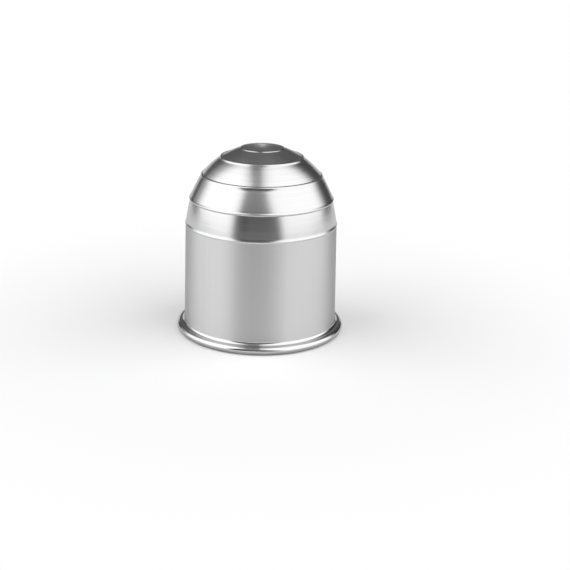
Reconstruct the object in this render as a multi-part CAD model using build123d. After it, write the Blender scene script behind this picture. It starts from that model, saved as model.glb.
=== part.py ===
from build123d import *
from math import cos, radians, sin, sqrt, tan
import os

# Tow ball cover: one moulded shell, pushed mouth down over a tow ball.
# Millimetres. +Z runs up the axis, and the origin is the centre of the rim's foot.

# The ball and the socket that takes it
ball_diameter = 50.0
ball_clearance = 0.25
ball_centre_height = 42.0  # above the rim's foot
land_length = 8.0  # straight wall of the socket below the ball's centre
core_draft_angle = 1.4  # the hollow widens by this from the straight wall to the mouth
lead_in = 0.5  # chamfer at the mouth that guides the cover onto the ball

# The dome: zones lapped like roof tiles, each ending in a bead that overhangs the next zone
dome_wall = 2.15  # from the socket to the crests of the beads
top_bead_angle = 33.1  # crests by their angle from the axis, seen from the ball's centre
middle_bead_angle = 53.3
lower_bead_angle = 73.5
crest_width = 0.35
bead_rise = 0.25  # from the zone that ends at the bead up to its crest
bead_ramp_length = 0.45
top_lap_step = 0.3  # from a crest down to the start of the next zone
top_lap_length = 0.5
middle_lap_step = 0.25
middle_lap_length = 0.6
lower_lap_step = 0.5
lower_lap_length = 0.3

# The button on the crown
button_radius = 8.1
button_seat = 0.5  # depth of the seat round the button, below the sphere of the crests
button_rise = 0.25  # its bevelled side, from the seat to its edge
button_bevel = 0.2
button_crown = 1.0  # from its edge to its middle

# The skirt, with a bead where the dome meets it
skirt_bead_drop = 1.5  # the bead's crest below the ball's centre
skirt_bead_rise = 0.3  # from the dome's last zone out to the crest
skirt_ramp_length = 0.6
skirt_step = 0.2  # from the crest back to the skirt
skirt_step_length = 0.45
skirt_top_wall = 2.35
skirt_draft_angle = 0.8

# The flared rim
rim_overhang = 2.7  # beyond the skirt's line where it would meet the floor
rim_thickness = 2.9
flare_radius = 1.2

# Small rounds are laid out in straight stretches, so that the shell has few facets
flare_stretch_count = 3
rim_stretch_count = 6

# Sizes that follow from these
socket_radius = ball_diameter / 2 + ball_clearance
dome_radius = socket_radius + dome_wall
crown_height = ball_centre_height + socket_radius
land_end_height = ball_centre_height - land_length
mouth_radius = socket_radius + land_end_height * tan(radians(core_draft_angle))
skirt_bead_height = ball_centre_height - skirt_bead_drop
skirt_top_radius = socket_radius + skirt_top_wall
skirt_top_height = skirt_bead_height - skirt_step_length
skirt_bead_radius = skirt_top_radius + skirt_step
skirt_foot_radius = skirt_top_radius + skirt_top_height * tan(radians(skirt_draft_angle))
rim_round = rim_thickness / 2


def on_dome(angle, depth=0.0, along=0.0):
    # A point in the section at an angle from the axis, below the sphere of the crests by a depth
    # and further down that sphere by a length along it.
    turn = radians(angle) + along / dome_radius
    reach = dome_radius - depth
    return Vector(reach * sin(turn), ball_centre_height + reach * cos(turn))


def flare_start(top, down, edge_centre):
    # Where the skirt's line has to end so that the flare's arc meets the rim's round edge smoothly.
    outward = Vector(-down.Y, down.X)
    offset = top + outward * flare_radius - edge_centre
    run = offset.dot(down)
    reach = flare_radius + rim_round
    start = top - down * (run + sqrt(run**2 - offset.dot(offset) + reach**2))
    arc_centre = start + outward * flare_radius
    return start, arc_centre + (edge_centre - arc_centre) * (flare_radius / reach)


def bead(angle, lap_step, lap_length):
    # Ramps up from the end of its zone to its crest, and down to the start of the zone below.
    return [
        on_dome(angle, bead_rise, -crest_width / 2 - bead_ramp_length),
        on_dome(angle, 0, -crest_width / 2),
        on_dome(angle, 0, crest_width / 2),
        on_dome(angle, lap_step, crest_width / 2 + lap_length),
    ]


def laid_out(arc, stretches):
    # Points that divide an arc into equal straight stretches.
    return [arc @ (step / stretches) for step in range(stretches + 1)]


seat_reach = dome_radius - button_seat
button_foot = Vector(button_radius, ball_centre_height + sqrt(seat_reach**2 - button_radius**2))
button_edge = button_foot + Vector(-button_bevel, button_rise)
button_top = Vector(0, button_edge.Y + button_crown)

dome_beads = [
    *bead(top_bead_angle, top_lap_step, top_lap_length),
    *bead(middle_bead_angle, middle_lap_step, middle_lap_length),
    *bead(lower_bead_angle, lower_lap_step, lower_lap_length),
]

skirt_crest = Vector(skirt_bead_radius, skirt_bead_height)
last_zone_end = skirt_crest + Vector(-skirt_bead_rise, skirt_ramp_length)
skirt_top = Vector(skirt_top_radius, skirt_top_height)
skirt_bead = [last_zone_end, skirt_crest, skirt_top]
skirt_down = Vector(sin(radians(skirt_draft_angle)), -cos(radians(skirt_draft_angle)))

rim_centre = Vector(skirt_foot_radius + rim_overhang - rim_round, rim_round)
rim_foot = Vector(rim_centre.X, 0)
skirt_end, flare_end = flare_start(skirt_top, skirt_down, rim_centre)
flare = TangentArc(skirt_end, flare_end, tangent=skirt_down)
rim = TangentArc(flare_end, rim_foot, tangent=flare % 1)
flared_rim = laid_out(flare, flare_stretch_count) + laid_out(rim, rim_stretch_count)[1:]

mouth = Vector(mouth_radius, 0)
land_end = Vector(socket_radius, land_end_height)
ball_side = Vector(socket_radius, ball_centre_height)
crown = Vector(0, crown_height)

with BuildPart() as cover:
    with BuildSketch(Plane.XZ) as section:
        with BuildLine():
            TangentArc(button_top, button_edge, tangent=(1, 0))
            Polyline(button_edge, button_foot, *dome_beads, *skirt_bead, *flared_rim, mouth)
            Polyline(mouth, land_end, ball_side)
            TangentArc(ball_side, crown, tangent=(0, 1))
            Line(crown, button_top)
        make_face()
        chamfer(section.vertices().sort_by_distance(mouth)[0], lead_in)
    revolve(axis=Axis.Z)

os.makedirs("parts", exist_ok=True)
export_step(cover.part, "parts/cover_shell.step")
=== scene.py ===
import math
import bpy
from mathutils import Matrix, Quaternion, Vector


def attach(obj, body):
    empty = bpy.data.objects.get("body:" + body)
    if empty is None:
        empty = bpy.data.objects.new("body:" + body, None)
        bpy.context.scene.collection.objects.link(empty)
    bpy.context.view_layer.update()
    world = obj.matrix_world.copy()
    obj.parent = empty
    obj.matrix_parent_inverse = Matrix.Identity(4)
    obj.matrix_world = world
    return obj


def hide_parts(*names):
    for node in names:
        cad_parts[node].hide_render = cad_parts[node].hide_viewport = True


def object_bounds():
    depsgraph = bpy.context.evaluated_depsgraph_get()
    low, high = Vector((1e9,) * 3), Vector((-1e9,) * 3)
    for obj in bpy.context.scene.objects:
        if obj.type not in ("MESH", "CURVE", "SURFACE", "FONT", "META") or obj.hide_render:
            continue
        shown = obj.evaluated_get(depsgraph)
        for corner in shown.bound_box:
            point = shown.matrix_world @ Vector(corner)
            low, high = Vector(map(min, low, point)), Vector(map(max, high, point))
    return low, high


# Tow ball cover: a turned-looking chrome shell, studio light, white floor
# Section sizes are in millimetres, the scene in metres

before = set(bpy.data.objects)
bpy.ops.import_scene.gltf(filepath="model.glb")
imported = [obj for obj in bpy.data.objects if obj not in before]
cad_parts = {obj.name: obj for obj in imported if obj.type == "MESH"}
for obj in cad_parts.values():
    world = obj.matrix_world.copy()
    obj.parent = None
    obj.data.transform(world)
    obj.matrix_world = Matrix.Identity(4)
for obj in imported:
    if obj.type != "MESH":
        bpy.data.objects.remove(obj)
cadLow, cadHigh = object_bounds()
mm = 0.001
print("frame loaded, box", [round(v / mm, 2) for v in cadHigh - cadLow], "mm")


# Section of the shell: outside from the crown down, hollow from the mouth up

shell = {
    "ballHeight": 42.0,  # ball's centre above the foot
    "domeRadius": 27.4,  # sphere that the bead crests lie on
    "beads": (  # crest from the axis at the ball's centre, bulge of its zone, lap down to the next
        {"angle": 33.1, "bulge": 0.05, "lapStep": 0.3, "lapRamp": 0.5},
        {"angle": 53.3, "bulge": 0.26, "lapStep": 0.25, "lapRamp": 0.6},
        {"angle": 73.5, "bulge": 0.08, "lapStep": 0.5, "lapRamp": 0.3},
    ),
    "crestWidth": 0.35,
    "crestRound": 0.4,
    "beadRise": 0.25,  # from the zone above up to the crest
    "beadRamp": 0.45,
    "buttonRadius": 8.1,
    "buttonBevel": 0.2,
    "buttonRise": 0.25,
    "buttonCrown": 0.78,  # from its edge to its middle
    "buttonRound": 0.7,
    "skirtBeadDrop": 1.5,
    "skirtCrestRound": 0.25,
    "skirtBeadRise": 0.3,
    "skirtRamp": 0.6,
    "skirtStep": 0.2,
    "skirtStepLength": 0.45,
    "skirtTopRadius": 27.6,
    "skirtDraft": 0.8,
    "lastBulge": 0.07,
    "rimThickness": 2.9,
    "flareRadius": 1.2,
    "socketRadius": 25.25,
    "landLength": 8.0,
    "coreDraft": 1.4,
    "mouthChamfer": 0.5,
    "turnSegments": 288,
    "weldDistance": 0.00001,  # metres
    "creaseAngle": 20.0,
    "steps": {  # stretches in each run of the section
        "crown": 40,
        "buttonEdge": 6,
        "zone": 16,
        "crest": 5,
        "skirtCrest": 8,
        "skirt": 24,
        "flare": 14,
        "rim": 16,
        "rimUnder": 10,
        "foot": 3,
        "chamfer": 1,
        "core": 12,
        "land": 4,
        "socket": 40,
    },
}
finishNames = ("button", "dome", "skirt", "rim", "bore")


def arcPoints(first, middle, last, steps):
    # circle through three points, from the first over the middle to the last
    a, b = middle - first, last - first
    cross = 2 * (a.x * b.y - a.y * b.x)
    centre = first + Vector((b.y * a.dot(a) - a.y * b.dot(b), a.x * b.dot(b) - b.x * a.dot(a))) / cross
    angles = [math.atan2(p.y - centre.y, p.x - centre.x) for p in (first, middle, last)]
    for i in (1, 2):
        angles[i] -= math.tau * round((angles[i] - angles[i - 1]) / math.tau)
    return sweepPoints(centre, (first - centre).length, angles[0], angles[2], steps)


def sweepPoints(centre, radius, start, end, steps):
    turns = [start + (end - start) * i / steps for i in range(steps + 1)]
    return [centre + radius * Vector((math.cos(t), math.sin(t))) for t in turns]


def bowPoints(first, last, bulge, steps):
    # shallow arc that stands out by the bulge in the middle
    along = (last - first).normalized()
    return arcPoints(first, (first + last) / 2 + bulge * Vector((-along.y, along.x)), last, steps)


def roundedPoints(corners, radius, steps):
    # straight stretches with every corner between them rounded off
    points = [corners[0]]
    for before, corner, after in zip(corners, corners[1:], corners[2:]):
        back, ahead = (before - corner).normalized(), (after - corner).normalized()
        half = back.angle(ahead) / 2
        run = radius / math.tan(half)
        middle = corner + (back + ahead).normalized() * (radius / math.sin(half) - radius)
        points += arcPoints(corner + back * run, middle, corner + ahead * run, steps)
    return points + [corners[-1]]


def linePoints(first, last, steps):
    return [first.lerp(last, i / steps) for i in range(steps + 1)]


def onDome(angle, depth=0.0, along=0.0):
    turn = math.radians(angle) + along / shell["domeRadius"]
    reach = shell["domeRadius"] - depth
    return Vector((reach * math.sin(turn), shell["ballHeight"] + reach * math.cos(turn)))


def outsideRuns():
    s = shell
    steps = s["steps"]
    top = Vector((0, cadHigh.z / mm))
    edge = top + Vector((s["buttonRadius"] - s["buttonBevel"], -s["buttonCrown"]))
    foot = edge + Vector((s["buttonBevel"], -s["buttonRise"]))
    crownRadius = (edge.x**2 + s["buttonCrown"] ** 2) / (2 * s["buttonCrown"])
    crownCentre = top - Vector((0, crownRadius))
    crownEnd = math.acos(edge.x / crownRadius)
    crown = sweepPoints(crownCentre, crownRadius, math.pi / 2, crownEnd, steps["crown"])
    runs = [
        ("button", crown[:-1]),
        ("button", roundedPoints([crown[-2], edge, foot], s["buttonRound"], steps["buttonEdge"])),
    ]

    # each zone of the dome ends in a bead: ramp up, crest, ramp down to the next zone
    zoneStart = foot
    half = s["crestWidth"] / 2
    for place in s["beads"]:
        bead = [
            onDome(place["angle"], s["beadRise"], -half - s["beadRamp"]),
            onDome(place["angle"], 0, -half),
            onDome(place["angle"], 0, half),
            onDome(place["angle"], place["lapStep"], half + place["lapRamp"]),
        ]
        runs.append(("dome", bowPoints(zoneStart, bead[0], place["bulge"], steps["zone"])))
        runs.append(("dome", roundedPoints(bead, s["crestRound"], steps["crest"])))
        zoneStart = bead[-1]

    crest = Vector((s["skirtTopRadius"] + s["skirtStep"], s["ballHeight"] - s["skirtBeadDrop"]))
    skirtTop = crest - Vector((s["skirtStep"], s["skirtStepLength"]))
    lastEnd = crest + Vector((-s["skirtBeadRise"], s["skirtRamp"]))
    runs.append(("dome", bowPoints(zoneStart, lastEnd, s["lastBulge"], steps["zone"])))
    skirtBead = [lastEnd, crest, skirtTop]
    runs.append(("dome", roundedPoints(skirtBead, s["skirtCrestRound"], steps["skirtCrest"])))

    # skirt's line, then the flare's arc, which meets the round rim smoothly
    draft = math.radians(s["skirtDraft"])
    down = Vector((math.sin(draft), -math.cos(draft)))
    outward = Vector((math.cos(draft), math.sin(draft)))
    rimRound = s["rimThickness"] / 2
    rimCentre = Vector((min(cadHigh.x, cadHigh.y) / mm - rimRound, rimRound))
    reach = s["flareRadius"] + rimRound
    offset = skirtTop + outward * s["flareRadius"] - rimCentre
    run = offset.dot(down)
    skirtEnd = skirtTop - down * (run + math.sqrt(run**2 - offset.dot(offset) + reach**2))
    flareCentre = skirtEnd + outward * s["flareRadius"]
    flareTurn = math.atan2(rimCentre.y - flareCentre.y, rimCentre.x - flareCentre.x)
    runs.append(("skirt", linePoints(skirtTop, skirtEnd, steps["skirt"])))
    flare = sweepPoints(flareCentre, s["flareRadius"], draft - math.pi, flareTurn, steps["flare"])
    runs.append(("rim", flare))
    runs.append(("rim", sweepPoints(rimCentre, rimRound, flareTurn + math.pi, 0, steps["rim"])))
    # the rim's lower outer quarter takes the bore's darker colour: painted shade standing in for the
    # dark reflection under the rim
    runs.append(("bore", sweepPoints(rimCentre, rimRound, 0, -math.pi / 2, steps["rimUnder"])))
    return runs


def hollowRuns(rimFoot):
    s = shell
    steps = s["steps"]
    landEnd = Vector((s["socketRadius"], s["ballHeight"] - s["landLength"]))
    slope = math.tan(math.radians(s["coreDraft"]))
    mouth = landEnd + Vector((landEnd.y * slope, -landEnd.y))
    chamferTop = mouth + Vector((-s["mouthChamfer"] * slope, s["mouthChamfer"]))
    chamferFoot = mouth + Vector((s["mouthChamfer"], 0))
    ballSide = Vector((s["socketRadius"], s["ballHeight"]))
    ballCentre = Vector((0, s["ballHeight"]))
    return [
        ("bore", linePoints(rimFoot, chamferFoot, steps["foot"])),
        ("bore", linePoints(chamferFoot, chamferTop, steps["chamfer"])),
        ("bore", linePoints(chamferTop, landEnd, steps["core"])),
        ("bore", linePoints(landEnd, ballSide, steps["land"])),
        ("bore", sweepPoints(ballCentre, s["socketRadius"], 0, math.pi / 2, steps["socket"])),
    ]


def sectionMesh():
    outside = outsideRuns()
    runs = outside + hollowRuns(outside[-1][1][-1])
    points, edgeFinishes = [runs[0][1][0]], []
    for finish, run in runs:
        points += run[1:]
        edgeFinishes += [finishNames.index(finish)] * (len(run) - 1)
    points[0].x = points[-1].x = 0
    points.reverse()  # from the hollow's crown, so that the turned faces point outwards
    edgeFinishes.reverse()
    lengths = [0.0]
    for p, q in zip(points, points[1:]):
        lengths.append(lengths[-1] + (q - p).length)
    mesh = bpy.data.meshes.new("coverSection")
    edges = [(i, i + 1) for i in range(len(points) - 1)]
    mesh.from_pydata([(p.x * mm, 0, p.y * mm) for p in points], edges, [])
    along = mesh.attributes.new("along", "FLOAT", "POINT")
    along.data.foreach_set("value", [v / lengths[-1] for v in lengths])
    mesh.attributes.new("finish", "INT", "EDGE").data.foreach_set("value", edgeFinishes)
    print("section of", len(points), "points,", round(lengths[-1], 1), "mm long")
    return mesh


# Finishes

chrome = {
    "edgeTint": (0.76, 0.76, 0.76, 1),  # how much it still shines at a glancing angle
    "acrossLines": 0.25,  # a quarter turn from the lines' own direction
    "lineDetail": 3.0,
    "bumpStrength": 0.3,
    "button": {
        "material": "buttonChrome",
        "colour": (0.6, 0.6, 0.605, 1),
        "roughness": 0.17,
        "variation": 0.06,  # how far the lines change the roughness
        "brushing": 0.95,  # how far a highlight is drawn out across the lines
        "lineCount": 260.0,
        "lineDepth": 0.00003,  # metres
        "lineTint": 0.16,  # how much the lines darken and lighten it
        "upright": False,
    },
    "dome": {
        "material": "turnedChrome",
        "colour": (0.6, 0.6, 0.605, 1),
        "roughness": 0.235,
        "variation": 0.06,
        "brushing": 0.1,
        "lineCount": 260.0,
        "lineDepth": 0.00003,
        "lineTint": 0.16,
        "upright": False,
    },
    "skirt": {
        "material": "satinChrome",
        "colour": (0.6, 0.6, 0.605, 1),
        "roughness": 0.48,
        "variation": 0.05,
        "brushing": 0.8,
        "lineCount": 70.0,
        "lineDepth": 0.0,
        "lineTint": 0.06,
        "upright": True,
    },
    "rim": {
        "material": "brightChrome",
        "colour": (0.6, 0.6, 0.605, 1),
        "roughness": 0.1,
        "variation": 0.02,
        "brushing": 0.0,
        "lineCount": 260.0,
        "lineDepth": 0.0,
        "lineTint": 0.0,
        "upright": False,
    },
    # darker, rougher chrome for the hollow; on the rim's underside this darker colour is painted shade
    "bore": {
        "material": "dullChromeAndPaintedShade",
        "colour": (0.42, 0.42, 0.425, 1),
        "roughness": 0.45,
        "variation": 0.04,
        "brushing": 0.0,
        "lineCount": 260.0,
        "lineDepth": 0.0,
        "lineTint": 0.0,
        "upright": False,
    },
}


def turnedLinesGroup():
    # fine lines from turning or brushing, as a height and a slight change of gloss and colour
    group = bpy.data.node_groups.new("turnedLines", "ShaderNodeTree")
    for name in ("Along", "Line Count", "Roughness", "Variation", "Tint"):
        group.interface.new_socket(name, in_out="INPUT", socket_type="NodeSocketFloat")
    group.interface.new_socket("Colour", in_out="INPUT", socket_type="NodeSocketColor")
    for name in ("Height", "Roughness"):
        group.interface.new_socket(name, in_out="OUTPUT", socket_type="NodeSocketFloat")
    group.interface.new_socket("Colour", in_out="OUTPUT", socket_type="NodeSocketColor")
    nodes, links = group.nodes, group.links
    source, result = nodes.new("NodeGroupInput"), nodes.new("NodeGroupOutput")
    stretch = nodes.new("ShaderNodeMath")
    stretch.operation = "MULTIPLY"
    rings = nodes.new("ShaderNodeTexNoise")
    rings.noise_dimensions = "1D"
    rings.inputs["Scale"].default_value = 1.0
    rings.inputs["Detail"].default_value = chrome["lineDetail"]
    centred = nodes.new("ShaderNodeMath")
    centred.operation = "SUBTRACT"
    centred.inputs[1].default_value = 0.5  # middle of the noise
    gloss = nodes.new("ShaderNodeMath")
    gloss.operation = "MULTIPLY_ADD"
    level = nodes.new("ShaderNodeMath")
    level.operation = "MULTIPLY_ADD"
    level.inputs[2].default_value = 1.0
    tinted = nodes.new("ShaderNodeVectorMath")
    tinted.operation = "SCALE"
    links.new(source.outputs["Along"], stretch.inputs[0])
    links.new(source.outputs["Line Count"], stretch.inputs[1])
    links.new(stretch.outputs[0], rings.inputs["W"])
    links.new(rings.outputs["Fac"], centred.inputs[0])
    links.new(centred.outputs[0], gloss.inputs[0])
    links.new(source.outputs["Variation"], gloss.inputs[1])
    links.new(source.outputs["Roughness"], gloss.inputs[2])
    links.new(centred.outputs[0], level.inputs[0])
    links.new(source.outputs["Tint"], level.inputs[1])
    links.new(source.outputs["Colour"], tinted.inputs[0])
    links.new(level.outputs[0], tinted.inputs["Scale"])
    links.new(tinted.outputs[0], result.inputs["Colour"])
    links.new(rings.outputs["Fac"], result.inputs["Height"])
    links.new(gloss.outputs[0], result.inputs["Roughness"])
    return group


turnedLines = turnedLinesGroup()


def chromeFinish(look):
    material = bpy.data.materials.new(look["material"])
    material.use_nodes = True
    nodes, links = material.node_tree.nodes, material.node_tree.links
    bsdf = nodes["Principled BSDF"]
    bsdf.inputs["Base Color"].default_value = look["colour"]
    bsdf.inputs["Metallic"].default_value = 1.0
    bsdf.inputs["Specular Tint"].default_value = chrome["edgeTint"]
    uvMap = nodes.new("ShaderNodeUVMap")
    uvMap.uv_map = "turned"
    split = nodes.new("ShaderNodeSeparateXYZ")
    lines = nodes.new("ShaderNodeGroup")
    lines.node_tree = turnedLines
    lines.inputs["Line Count"].default_value = look["lineCount"]
    lines.inputs["Roughness"].default_value = look["roughness"]
    lines.inputs["Variation"].default_value = look["variation"]
    lines.inputs["Tint"].default_value = look["lineTint"]
    lines.inputs["Colour"].default_value = look["colour"]
    links.new(uvMap.outputs["UV"], split.inputs[0])
    links.new(lines.outputs["Roughness"], bsdf.inputs["Roughness"])
    if look["upright"]:  # lines up the wall, mirrored so that they meet at the seam
        mirrored = nodes.new("ShaderNodeMath")
        mirrored.operation = "PINGPONG"
        mirrored.inputs[1].default_value = 0.5  # half way round
        links.new(split.outputs["X"], mirrored.inputs[0])
        links.new(mirrored.outputs[0], lines.inputs["Along"])
    else:
        links.new(split.outputs["Y"], lines.inputs["Along"])
    if look["lineTint"] > 0:
        links.new(lines.outputs["Colour"], bsdf.inputs["Base Color"])
    if look["lineDepth"] > 0:
        bump = nodes.new("ShaderNodeBump")
        bump.inputs["Strength"].default_value = chrome["bumpStrength"]
        bump.inputs["Distance"].default_value = look["lineDepth"]
        links.new(lines.outputs["Height"], bump.inputs["Height"])
        links.new(bump.outputs["Normal"], bsdf.inputs["Normal"])
    if look["brushing"] > 0:
        bsdf.inputs["Anisotropic"].default_value = look["brushing"]
        bsdf.inputs["Anisotropic Rotation"].default_value = chrome["acrossLines"]
        tangent = nodes.new("ShaderNodeTangent")
        tangent.direction_type = "UV_MAP"
        tangent.uv_map = "turned"
        links.new(tangent.outputs["Tangent"], bsdf.inputs["Tangent"])
    return material


finishes = {name: chromeFinish(chrome[name]) for name in finishNames}
print("finishes made:", ", ".join(finishes))


# Turning: the section is spun round the axis by geometry nodes


def turningTree():
    tree = bpy.data.node_groups.new("turnSection", "GeometryNodeTree")
    face = tree.interface
    face.new_socket("Section", in_out="INPUT", socket_type="NodeSocketGeometry")
    face.new_socket("Turn Segments", in_out="INPUT", socket_type="NodeSocketInt")
    face.new_socket("Weld Distance", in_out="INPUT", socket_type="NodeSocketFloat")
    face.new_socket("Crease Angle", in_out="INPUT", socket_type="NodeSocketFloat")
    for name in finishNames:
        face.new_socket(name.title() + " Finish", in_out="INPUT", socket_type="NodeSocketMaterial")
    face.new_socket("Shell", in_out="OUTPUT", socket_type="NodeSocketGeometry")
    nodes, links = tree.nodes, tree.links

    def node(kind, **settings):
        made = nodes.new(kind)
        for key, value in settings.items():
            setattr(made, key, value)
        return made

    def whole(operation, first, second):
        # whole-number sum, with sockets or plain numbers
        made = node("FunctionNodeIntegerMath", operation=operation)
        for slot, value in zip(made.inputs, (first, second)):
            if isinstance(value, int):
                slot.default_value = value
            else:
                links.new(value, slot)
        return made.outputs[0]

    def maths(operation, first, second=None):
        made = node("ShaderNodeMath", operation=operation)
        for slot, value in zip(made.inputs, (first, second)):
            if isinstance(value, float):
                slot.default_value = value
            elif value is not None:
                links.new(value, slot)
        return made.outputs[0]

    source, result = node("NodeGroupInput"), node("NodeGroupOutput")
    segments = source.outputs["Turn Segments"]
    size = node("GeometryNodeAttributeDomainSize", component="MESH")
    links.new(source.outputs["Section"], size.inputs["Geometry"])
    pointCount, edgeCount = size.outputs["Point Count"], size.outputs["Edge Count"]

    # one column of points for each step of the turn, one row for each point of the section
    grid = node("GeometryNodeMeshGrid")
    links.new(whole("ADD", segments, 1), grid.inputs["Vertices X"])
    links.new(pointCount, grid.inputs["Vertices Y"])
    index = node("GeometryNodeInputIndex").outputs[0]
    row = whole("MODULO", index, pointCount)
    share = maths("DIVIDE", whole("DIVIDE_FLOOR", index, pointCount), segments)
    turn = maths("MULTIPLY", share, math.tau)

    place = node("GeometryNodeSampleIndex", data_type="FLOAT_VECTOR", domain="POINT")
    links.new(source.outputs["Section"], place.inputs["Geometry"])
    links.new(node("GeometryNodeInputPosition").outputs[0], place.inputs["Value"])
    links.new(row, place.inputs["Index"])
    split = node("ShaderNodeSeparateXYZ")
    links.new(place.outputs[0], split.inputs[0])
    spun = node("ShaderNodeCombineXYZ")
    links.new(maths("MULTIPLY", split.outputs["X"], maths("COSINE", turn)), spun.inputs["X"])
    links.new(maths("MULTIPLY", split.outputs["X"], maths("SINE", turn)), spun.inputs["Y"])
    links.new(split.outputs["Z"], spun.inputs["Z"])
    move = node("GeometryNodeSetPosition")
    links.new(grid.outputs["Mesh"], move.inputs["Geometry"])
    links.new(spun.outputs[0], move.inputs["Position"])

    # map: round the axis, and along the section
    along = node("GeometryNodeInputNamedAttribute", data_type="FLOAT")
    along.inputs["Name"].default_value = "along"
    reached = node("GeometryNodeSampleIndex", data_type="FLOAT", domain="POINT")
    links.new(source.outputs["Section"], reached.inputs["Geometry"])
    links.new(along.outputs["Attribute"], reached.inputs["Value"])
    links.new(row, reached.inputs["Index"])
    mapped = node("ShaderNodeCombineXYZ")
    links.new(share, mapped.inputs["X"])
    links.new(reached.outputs[0], mapped.inputs["Y"])
    onPoints = node("GeometryNodeFieldOnDomain", data_type="FLOAT_VECTOR", domain="POINT")
    links.new(mapped.outputs[0], onPoints.inputs[0])
    storeMap = node("GeometryNodeStoreNamedAttribute", data_type="FLOAT2", domain="CORNER")
    storeMap.inputs["Name"].default_value = "turned"
    links.new(move.outputs[0], storeMap.inputs["Geometry"])
    links.new(onPoints.outputs[0], storeMap.inputs["Value"])

    # finish of each face, from the section's edges
    edgeFinish = node("GeometryNodeInputNamedAttribute", data_type="INT")
    edgeFinish.inputs["Name"].default_value = "finish"
    faceFinish = node("GeometryNodeSampleIndex", data_type="INT", domain="EDGE")
    links.new(source.outputs["Section"], faceFinish.inputs["Geometry"])
    links.new(edgeFinish.outputs["Attribute"], faceFinish.inputs["Value"])
    links.new(whole("MODULO", index, edgeCount), faceFinish.inputs["Index"])
    storeFinish = node("GeometryNodeStoreNamedAttribute", data_type="INT", domain="FACE")
    storeFinish.inputs["Name"].default_value = "finish"
    links.new(storeMap.outputs[0], storeFinish.inputs["Geometry"])
    links.new(faceFinish.outputs[0], storeFinish.inputs["Value"])

    # close the seam and the poles, smooth all but the creases
    weld = node("GeometryNodeMergeByDistance")
    links.new(storeFinish.outputs[0], weld.inputs["Geometry"])
    links.new(source.outputs["Weld Distance"], weld.inputs["Distance"])
    smooth = node("GeometryNodeSetShadeSmooth", domain="FACE")
    links.new(weld.outputs[0], smooth.inputs["Geometry"])
    angle = node("GeometryNodeInputMeshEdgeAngle").outputs["Unsigned Angle"]
    crease = node("GeometryNodeSetShadeSmooth", domain="EDGE")
    crease.inputs["Shade Smooth"].default_value = False
    links.new(smooth.outputs[0], crease.inputs["Geometry"])
    links.new(maths("GREATER_THAN", angle, source.outputs["Crease Angle"]), crease.inputs["Selection"])

    realize = node("GeometryNodeRealizeInstances")
    links.new(crease.outputs[0], realize.inputs[0])
    last = realize.outputs[0]
    for number, name in enumerate(finishNames):
        same = node("FunctionNodeCompare", data_type="INT", operation="EQUAL")
        same.inputs[3].default_value = number  # sockets 2 and 3 take whole numbers
        links.new(edgeFinish.outputs["Attribute"], same.inputs[2])
        paint = node("GeometryNodeSetMaterial")
        links.new(last, paint.inputs["Geometry"])
        links.new(same.outputs[0], paint.inputs["Selection"])
        links.new(source.outputs[name.title() + " Finish"], paint.inputs["Material"])
        last = paint.outputs[0]
    links.new(last, result.inputs["Shell"])
    return tree


def turnedShell():
    cover = bpy.data.objects.new("towBallCover", sectionMesh())
    bpy.context.scene.collection.objects.link(cover)
    tree = turningTree()
    sockets = {s.name: s.identifier for s in tree.interface.items_tree if s.in_out == "INPUT"}
    turning = cover.modifiers.new("turning", "NODES")
    turning.node_group = tree
    turning[sockets["Turn Segments"]] = shell["turnSegments"]
    turning[sockets["Weld Distance"]] = shell["weldDistance"]
    turning[sockets["Crease Angle"]] = math.radians(shell["creaseAngle"])
    for name in finishNames:
        turning[sockets[name.title() + " Finish"]] = finishes[name]
    depsgraph = bpy.context.evaluated_depsgraph_get()
    turned = bpy.data.meshes.new_from_object(cover.evaluated_get(depsgraph))
    turned.name = "towBallCover"
    turned.materials.pop(index=0)  # the grid's own empty slot
    cover.modifiers.remove(turning)
    cover.data = turned
    print("shell turned:", len(turned.polygons), "faces")
    return cover


cover = turnedShell()
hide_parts("cover_shell")
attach(cover, "root")


# Studio: white floor and sweep, two tilted soft boxes, dim cards and a dark room round them

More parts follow.
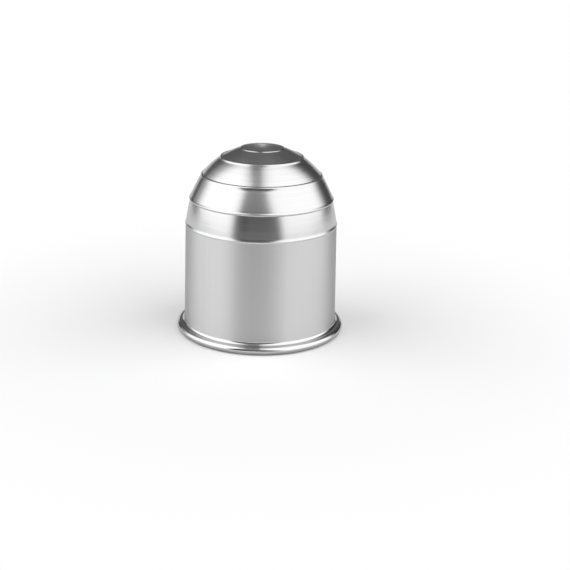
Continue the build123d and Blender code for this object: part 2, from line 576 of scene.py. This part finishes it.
studio = {
    "table": (-1.1, 1.1, -0.5, 0.3),  # left, right, front and back of the white sheet under the cover
    "sweep": (-0.34, 0.28, 0.3, 0.6),  # of the sheet behind it, which turns up at the back
    "sweepBend": 0.1,
    "sweepHeight": 0.15,
    "sweepSteps": 12,
    "floorColour": (0.94, 0.94, 0.94, 1),
    "whiteFrom": 0.06,  # the floor turns plain white between these distances from the axis
    "whiteTo": 0.16,
    "roomRadius": 80.0,
    "roomLevel": 0.065,  # what the chrome mirrors where no card or floor stands
    "roomSegments": 96,
    "roomEdge": 88,  # its lowest and highest rings, in degrees from the horizon
    "roomStep": 16,
    "reach": 6.0,  # metres for each unit of the cards' places below
    "cards": {  # a fade runs along an axis from a dim place to a full one, with the least share of light
        "leftBox": {
            "level": 1.75,
            "corners": (
                (-1.11, -1.26, -0.02),
                (-1.11, 1.15, -0.02),
                (-0.49, 0.95, 2.09),
                (-0.49, -1.06, 2.09),
            ),
            "fades": (("Y", -1.26, -0.95, 0.2), ("Y", 0.84, 0.28, 0.25), ("Z", 2.09, 1.4, 0.6)),
        },
        "rightBox": {
            "level": 1.65,
            "corners": (
                (1.12, -1.88, -0.02),
                (1.12, 0.75, -0.02),
                (0.02, 0.4, 2.04),
                (0.02, -1.66, 2.04),
            ),
            "fades": (("Y", -1.88, -1.38, 0.2), ("Y", 0.7, 0.23, 0.17), ("Z", 2.04, 1.4, 0.7)),
        },
        "frontFill": {
            "level": 0.33,
            "corners": ((-1.5, -3.6, 2.1), (1.5, -3.6, 2.1), (1.5, 0, 2.1), (-1.5, 0, 2.1)),
            "fades": (),
        },
        "frontCard": {
            "level": 0.15,
            "corners": ((-1.2, -3, -0.05), (1.2, -3, -0.05), (1.2, -3, 1.2), (-1.2, -3, 1.2)),
            "fades": (),
        },
        "topCard": {
            "level": 0.17,
            "corners": ((-1.5, 0, 2.12), (1.5, 0, 2.12), (1.5, 0.65, 2.12), (-1.5, 0.65, 2.12)),
            "fades": (),
        },
        "backCard": {
            "level": 0.175,
            "corners": ((-2.4, 3.05, 0.9), (1.5, 3.05, 0.9), (1.5, 3.05, 10), (-2.4, 3.05, 10)),
            "fades": (("X", -1.3, -0.3, 0.8), ("X", 1.3, 0.3, 0.8)),
        },
        "crownCard": {  # this and the next two show in the button
            "level": 1.0,
            "corners": ((-0.45, 3, 0.3), (0.45, 3, 0.3), (0.45, 3, 1.7), (-0.45, 3, 1.7)),
            "fades": (("Z", 0.65, -0.8, 0.17),),
        },
        "crownShade": {
            "level": 0.2,
            "corners": (
                (-0.014, 0.092, 0.01),
                (0.014, 0.092, 0.01),
                (0.014, 0.092, 0.0237),
                (-0.014, 0.092, 0.0237),
            ),
            "fades": (),
        },
        "crownStreak": {
            "level": 2.2,
            "corners": (
                (-0.02, 2.95, 0.45),
                (0.02, 2.95, 0.45),
                (0.02, 2.95, 0.85),
                (-0.02, 2.95, 0.85),
            ),
            "fades": (),
        },
    },
}


def glow(name, level, fades=()):
    # plain light, dimmed towards the edges that the fades name
    material = bpy.data.materials.new(name)
    material.use_nodes = True
    nodes, links = material.node_tree.nodes, material.node_tree.links
    nodes.clear()
    light = nodes.new("ShaderNodeEmission")
    light.inputs["Strength"].default_value = level
    links.new(light.outputs[0], nodes.new("ShaderNodeOutputMaterial").inputs["Surface"])
    if not fades:
        return material
    place = nodes.new("ShaderNodeTexCoord")
    split = nodes.new("ShaderNodeSeparateXYZ")
    links.new(place.outputs["Object"], split.inputs[0])
    share = None
    for axis, dim, full, least in fades:
        fade = nodes.new("ShaderNodeMapRange")
        fade.interpolation_type = "SMOOTHSTEP"
        fade.inputs["From Min"].default_value = dim * studio["reach"]
        fade.inputs["From Max"].default_value = full * studio["reach"]
        fade.inputs["To Min"].default_value = least
        links.new(split.outputs[axis], fade.inputs["Value"])
        if share is None:
            share = fade.outputs[0]
        else:
            both = nodes.new("ShaderNodeMath")
            both.operation = "MULTIPLY"
            links.new(share, both.inputs[0])
            links.new(fade.outputs[0], both.inputs[1])
            share = both.outputs[0]
    links.new(share, light.inputs["Color"])
    return material


def stageMesh(name, corners, faces, material):
    mesh = bpy.data.meshes.new(name)
    mesh.from_pydata(corners, [], faces)
    mesh.materials.append(material)
    made = bpy.data.objects.new(name, mesh)
    bpy.context.scene.collection.objects.link(made)
    return made


def lightCard(name):
    card = studio["cards"][name]
    corners = [tuple(v * studio["reach"] for v in corner) for corner in card["corners"]]
    made = stageMesh(name, corners, [(0, 1, 2, 3)], glow(name, card["level"], card["fades"]))
    made.visible_camera = False


def ringCorners(radius, height):
    count = studio["roomSegments"]
    turns = [math.tau * i / count for i in range(count)]
    return [(radius * math.cos(t), radius * math.sin(t), height) for t in turns]


def studioFloor():
    # pale paint with the cover's shadow, plain white farther off, in the picture and in the chrome alike
    white = bpy.data.materials.new("paleFloor")
    white.use_nodes = True
    nodes, links = white.node_tree.nodes, white.node_tree.links
    paint = nodes["Principled BSDF"]
    paint.inputs["Base Color"].default_value = studio["floorColour"]
    paint.inputs["Roughness"].default_value = 1.0
    paint.inputs["Specular IOR Level"].default_value = 0.0
    plain = nodes.new("ShaderNodeEmission")
    place = nodes.new("ShaderNodeTexCoord")
    distance = nodes.new("ShaderNodeVectorMath")
    distance.operation = "LENGTH"
    far = nodes.new("ShaderNodeMapRange")
    far.interpolation_type = "SMOOTHSTEP"
    far.inputs["From Min"].default_value = studio["whiteFrom"]
    far.inputs["From Max"].default_value = studio["whiteTo"]
    path = nodes.new("ShaderNodeLightPath")
    seen = path.outputs["Is Camera Ray"]
    for ray in ("Is Glossy Ray", "Is Transmission Ray"):
        either = nodes.new("ShaderNodeMath")
        either.operation = "MAXIMUM"
        links.new(seen, either.inputs[0])
        links.new(path.outputs[ray], either.inputs[1])
        seen = either.outputs[0]
    share = nodes.new("ShaderNodeMath")
    share.operation = "MULTIPLY"
    mix = nodes.new("ShaderNodeMixShader")
    links.new(place.outputs["Object"], distance.inputs[0])
    links.new(distance.outputs["Value"], far.inputs["Value"])
    links.new(far.outputs[0], share.inputs[0])
    links.new(seen, share.inputs[1])
    links.new(share.outputs[0], mix.inputs[0])
    links.new(paint.outputs[0], mix.inputs[1])
    links.new(plain.outputs[0], mix.inputs[2])
    links.new(mix.outputs[0], nodes["Material Output"].inputs["Surface"])
    left, right, front, back = studio["table"]
    corners = [(left, front, 0), (right, front, 0), (right, back, 0), (left, back, 0)]
    stageMesh("floor", corners, [(0, 1, 2, 3)], white)
    left, right, front, back = studio["sweep"]
    bend = studio["sweepBend"]
    profile = [(front, 0)]
    for i in range(studio["sweepSteps"] + 1):
        turn = math.pi / 2 * i / studio["sweepSteps"]
        profile.append((back - bend + bend * math.sin(turn), bend - bend * math.cos(turn)))
    profile.append((back, studio["sweepHeight"]))
    corners = [(x, y, z) for y, z in profile for x in (left, right)]
    faces = [(i, i + 1, i + 3, i + 2) for i in range(0, len(corners) - 2, 2)]
    sweep = stageMesh("sweep", corners, faces, white)
    sweep.data.shade_smooth()


def studioRoom():
    radius, count = studio["roomRadius"], studio["roomSegments"]
    rises = range(-studio["roomEdge"], studio["roomEdge"] + 1, studio["roomStep"])
    corners = []
    for rise in rises:
        turn = math.radians(rise)
        corners += ringCorners(radius * math.cos(turn), radius * math.sin(turn))
    lastRing = (len(rises) - 1) * count
    faces = []
    for low in range(0, lastRing, count):
        for i in range(count):
            after = (i + 1) % count
            faces.append((low + i, low + after, low + count + after, low + count + i))
    faces.append(tuple(range(lastRing, lastRing + count)))
    faces.append(tuple(range(count)))
    room = stageMesh("room", corners, faces, glow("room", studio["roomLevel"]))
    room.visible_camera = False


studioFloor()
studioRoom()
for name in studio["cards"]:
    lightCard(name)
world = bpy.data.worlds.new("whiteRoom")
world.use_nodes = True
background = world.node_tree.nodes["Background"]
background.inputs["Color"].default_value = (1, 1, 1, 1)
background.inputs["Strength"].default_value = 1.0
bpy.context.scene.world = world
print("studio set up")


# Camera

view = {
    "imageWidth": 570,  # pixels
    "sensorWidth": 36.0,
    "clipStart": 0.01,
    "clipEnd": 100.0,
    "target": (0, 0, 0.0345),
    "distance": 0.42,
    "elevation": 16.39,
    "roll": 0.851,
    "focalPixels": 1142.5,
    "targetPixel": (260.92, 236.96),
}


def photoCamera():
    lens = bpy.data.cameras.new("photoCamera")
    lens.sensor_width = view["sensorWidth"]
    lens.lens = lens.sensor_width * view["focalPixels"] / view["imageWidth"]
    lens.shift_x = 0.5 - view["targetPixel"][0] / view["imageWidth"]
    lens.shift_y = view["targetPixel"][1] / view["imageWidth"] - 0.5
    lens.clip_start = view["clipStart"]
    lens.clip_end = view["clipEnd"]
    camera = bpy.data.objects.new("photoCamera", lens)
    rise = math.radians(view["elevation"])
    back = Vector((0, -math.cos(rise), math.sin(rise)))
    camera.location = Vector(view["target"]) + back * view["distance"]
    roll = Quaternion((0, 0, 1), math.radians(view["roll"]))
    camera.rotation_mode = "QUATERNION"
    camera.rotation_quaternion = (-back).to_track_quat("-Z", "Y") @ roll
    bpy.context.scene.collection.objects.link(camera)
    bpy.context.scene.camera = camera


photoCamera()
bpy.context.scene.view_settings.view_transform = "Standard"
print("camera placed")
